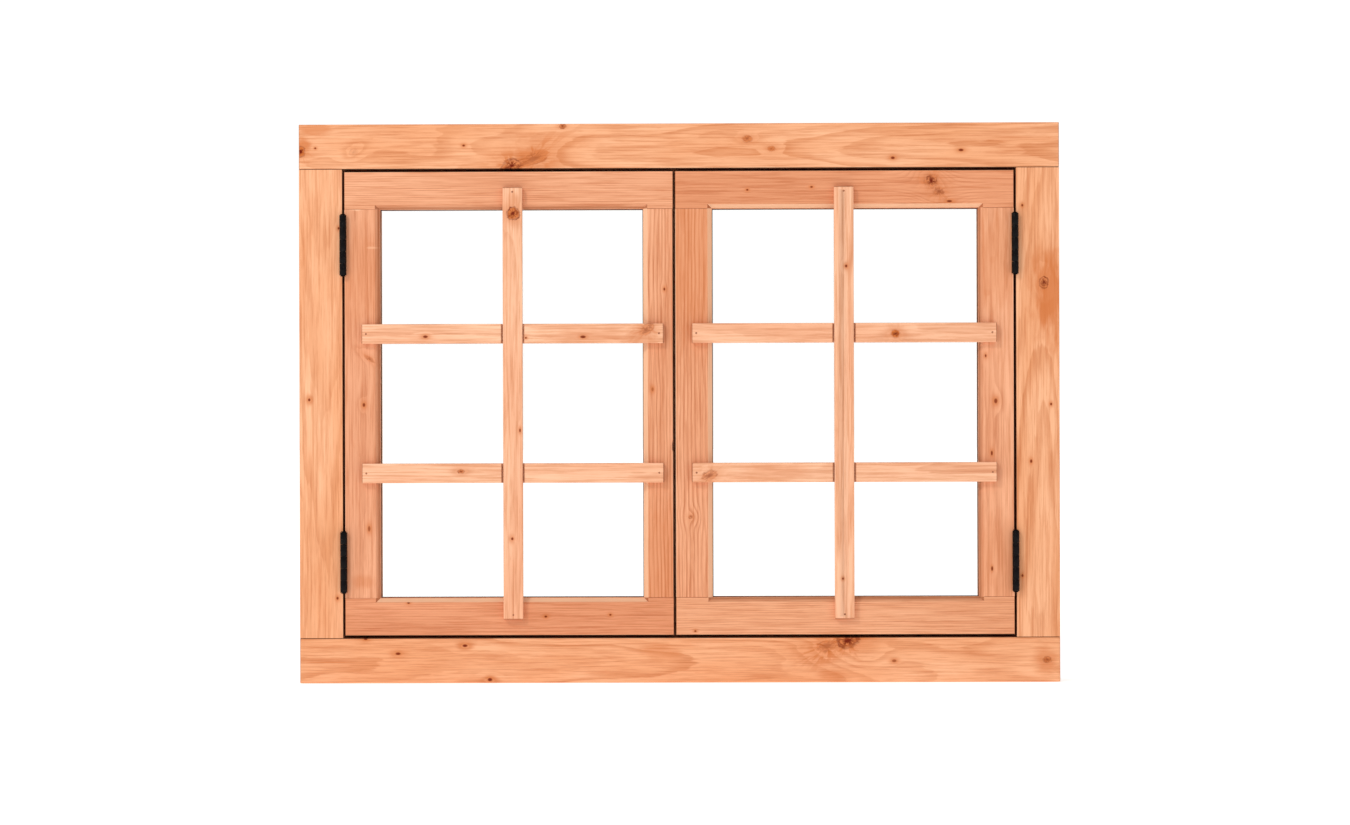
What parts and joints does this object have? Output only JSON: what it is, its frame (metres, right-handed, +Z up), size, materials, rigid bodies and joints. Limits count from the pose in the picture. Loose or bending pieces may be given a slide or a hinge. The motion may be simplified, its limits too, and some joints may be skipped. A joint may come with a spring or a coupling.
{
  "type": "casement window",
  "caption": "Timber casement window: glazed, barred sashes hung at the outer jambs of a plain frame, closing on stop battens and a slim centre post behind.",
  "frame": {"origin": "centre of the sill's underside, at half the frame's width and half its depth", "axes": "+X to the right as seen from outside, +Y inwards through the wall (the outside faces -Y), +Z up"},
  "size_m": [0.93, 0.079, 0.684],
  "materials": {
    "frame_timber": "planed softwood, oiled, satin",
    "stop_timber": "planed softwood, oiled, satin",
    "sash_timber": "planed softwood, oiled, satin",
    "bar_timber": "planed softwood, oiled, satin",
    "bead_timber": "planed softwood, oiled, satin",
    "dowel_timber": "turned beech, bare",
    "pane_glass": "clear float glass",
    "glazing_tape": "black glazing tape, matte",
    "black_hinge": "black powder coat, satin",
    "black_bolt": "black powder coat, satin",
    "black_screw": "black plated steel, satin",
    "zinc_screw": "zinc plated steel",
    "bright_nail": "bright steel"
  },
  "bodies": {
    "frame": {"centre_post": "stop_timber", "frame_screws": "zinc_screw", "head": "frame_timber", "head_stop": "stop_timber", "hinge_frame_screws": "black_screw", "hinge_pins": "black_hinge", "left_jamb": "frame_timber", "left_lower_hinge_frame_leaf": "black_hinge", "left_stop": "stop_timber", "left_upper_hinge_frame_leaf": "black_hinge", "right_jamb": "frame_timber", "right_lower_hinge_frame_leaf": "black_hinge", "right_stop": "stop_timber", "right_upper_hinge_frame_leaf": "black_hinge", "sill": "frame_timber", "sill_stop": "stop_timber", "stop_pins": "bright_nail"},
    "left_sash": {"left_bar_nails": "bright_nail", "left_bead_pins": "bright_nail", "left_bolt_plate": "black_bolt", "left_bottom_bead": "bead_timber", "left_bottom_rail": "sash_timber", "left_dowels": "dowel_timber", "left_glass": "pane_glass", "left_glazing_tape": "glazing_tape", "left_hinge_bead": "bead_timber", "left_hinge_stile": "sash_timber", "left_lower_cross_bar": "bar_timber", "left_lower_hinge_sash_leaf": "black_hinge", "left_meeting_bead": "bead_timber", "left_meeting_stile": "sash_timber", "left_sash_screws": "black_screw", "left_top_bead": "bead_timber", "left_top_rail": "sash_timber", "left_upper_cross_bar": "bar_timber", "left_upper_hinge_sash_leaf": "black_hinge", "left_upright_bar": "bar_timber"},
    "right_sash": {"right_bar_nails": "bright_nail", "right_bead_pins": "bright_nail", "right_bolt_plate": "black_bolt", "right_bottom_bead": "bead_timber", "right_bottom_rail": "sash_timber", "right_dowels": "dowel_timber", "right_glass": "pane_glass", "right_glazing_tape": "glazing_tape", "right_hinge_bead": "bead_timber", "right_hinge_stile": "sash_timber", "right_lower_cross_bar": "bar_timber", "right_lower_hinge_sash_leaf": "black_hinge", "right_meeting_bead": "bead_timber", "right_meeting_stile": "sash_timber", "right_sash_screws": "black_screw", "right_top_bead": "bead_timber", "right_top_rail": "sash_timber", "right_upper_cross_bar": "bar_timber", "right_upper_hinge_sash_leaf": "black_hinge", "right_upright_bar": "bar_timber"},
    "left_bolt": {"left_bolt_rod": "black_bolt"},
    "right_bolt": {"right_bolt_rod": "black_bolt"}
  },
  "joints": [
    {"name": "left_sash_swing", "type": "hinge", "parent": "frame", "child": "left_sash", "pos_m": [-0.41075, -0.0398, 0.342], "axis": [0, 0, -1], "range_deg": [0, 170]},
    {"name": "right_sash_swing", "type": "hinge", "parent": "frame", "child": "right_sash", "pos_m": [0.41075, -0.0398, 0.342], "axis": [0, 0, 1], "range_deg": [0, 170]},
    {"name": "left_bolt_throw", "type": "slide", "parent": "left_sash", "child": "left_bolt", "axis": [0, 0, -1], "range_m": [0, 0.012]},
    {"name": "right_bolt_throw", "type": "slide", "parent": "right_sash", "child": "right_bolt", "axis": [0, 0, -1], "range_m": [0, 0.012]}
  ]
}
